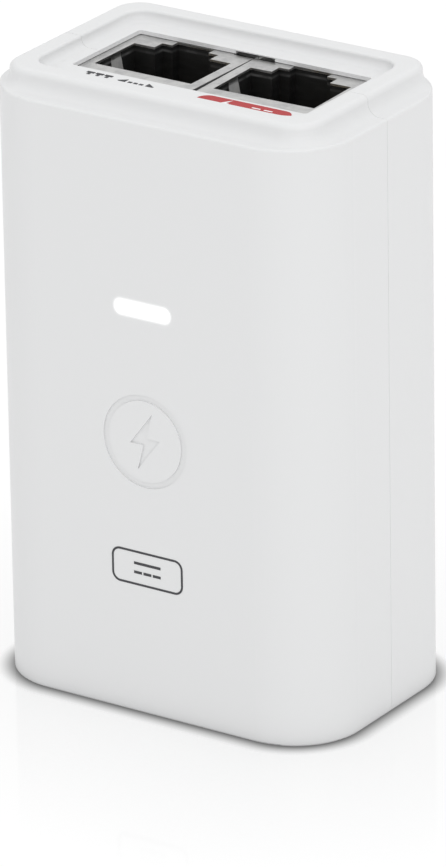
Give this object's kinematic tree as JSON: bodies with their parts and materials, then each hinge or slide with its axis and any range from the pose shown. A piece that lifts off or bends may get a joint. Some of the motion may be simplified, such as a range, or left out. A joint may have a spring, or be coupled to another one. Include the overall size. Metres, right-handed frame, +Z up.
{
  "type": "poe injector",
  "caption": "Small upright mains-fed power injector with a rounded casing, two modular network sockets in its rimmed top and a mains inlet in its base.",
  "frame": {"origin": "centre of the base, where the injector stands", "axes": "+Z up towards the sockets, front with the lit bar faces -Y, +X to the right seen from the front"},
  "size_m": [0.043, 0.029, 0.0698],
  "materials": {
    "shell_white": "satin, very fine spark texture",
    "bracket_white": "satin",
    "light_pipe": "clear moulded acrylic",
    "lamp": "cast lens",
    "board": "solder mask",
    "insulation": "film",
    "shield_metal": "tin plated sheet",
    "jack_black": "moulded",
    "gold": "gold plated",
    "tin": "tin plated",
    "inlet_black": "moulded",
    "ceramic_body": "glazed tube",
    "blue_coat": "dipped epoxy",
    "yellow_case": "moulded case",
    "ferrite": "sintered",
    "copper": "enamelled copper wire",
    "epoxy_black": "moulded",
    "can_metal": "drawn can",
    "tape": "polyester tape over the winding"
  },
  "bodies": {
    "housing": {"front_shell": "shell_white", "rear_shell": "shell_white", "light_pipe": "light_pipe", "status_leds": "lamp", "main_pcb": "board", "insulation_sheet": "insulation", "lan_jack_shield": "shield_metal", "poe_jack_shield": "shield_metal", "lan_jack_body": "jack_black", "poe_jack_body": "jack_black", "lan_solder_pins": "tin", "poe_solder_pins": "tin", "ac_inlet": "inlet_black", "ac_inlet_pins": "tin", "fuse": "ceramic_body", "varistor": "blue_coat", "x_capacitor": "yellow_case", "choke_core": "ferrite", "choke_windings": "copper", "bridge_rectifier": "epoxy_black", "bulk_capacitor": "can_metal", "output_capacitor": "can_metal", "transformer_core": "ferrite", "transformer_bobbin": "inlet_black", "transformer_winding": "tape", "switching_controller": "epoxy_black", "y_capacitor": "blue_coat", "optocoupler": "epoxy_black", "output_diode": "epoxy_black", "inductor_core": "ferrite", "inductor_winding": "copper", "data_transformer": "epoxy_black"},
    "bracket": {"wall_bracket": "bracket_white"},
    "lan_wires": {"lan_contacts": "gold"},
    "poe_wires": {"poe_contacts": "gold"}
  },
  "joints": [
    {"name": "bracket_slide", "type": "slide", "parent": "housing", "child": "bracket", "axis": [0, 0, -1], "range_m": [0, 0.006]},
    {"name": "lan_wire_spring", "type": "hinge", "parent": "housing", "child": "lan_wires", "pos_m": [-0.00755, -0.00286, 0.0668], "axis": [-1, 0.0052, 0], "range_deg": [0, 10], "stiffness_Nm_per_rad": 0.3},
    {"name": "poe_wire_spring", "type": "hinge", "parent": "housing", "child": "poe_wires", "pos_m": [0.00766, -0.00268, 0.0668], "axis": [-0.9996, -0.0297, 0], "range_deg": [0, 10], "stiffness_Nm_per_rad": 0.3}
  ]
}
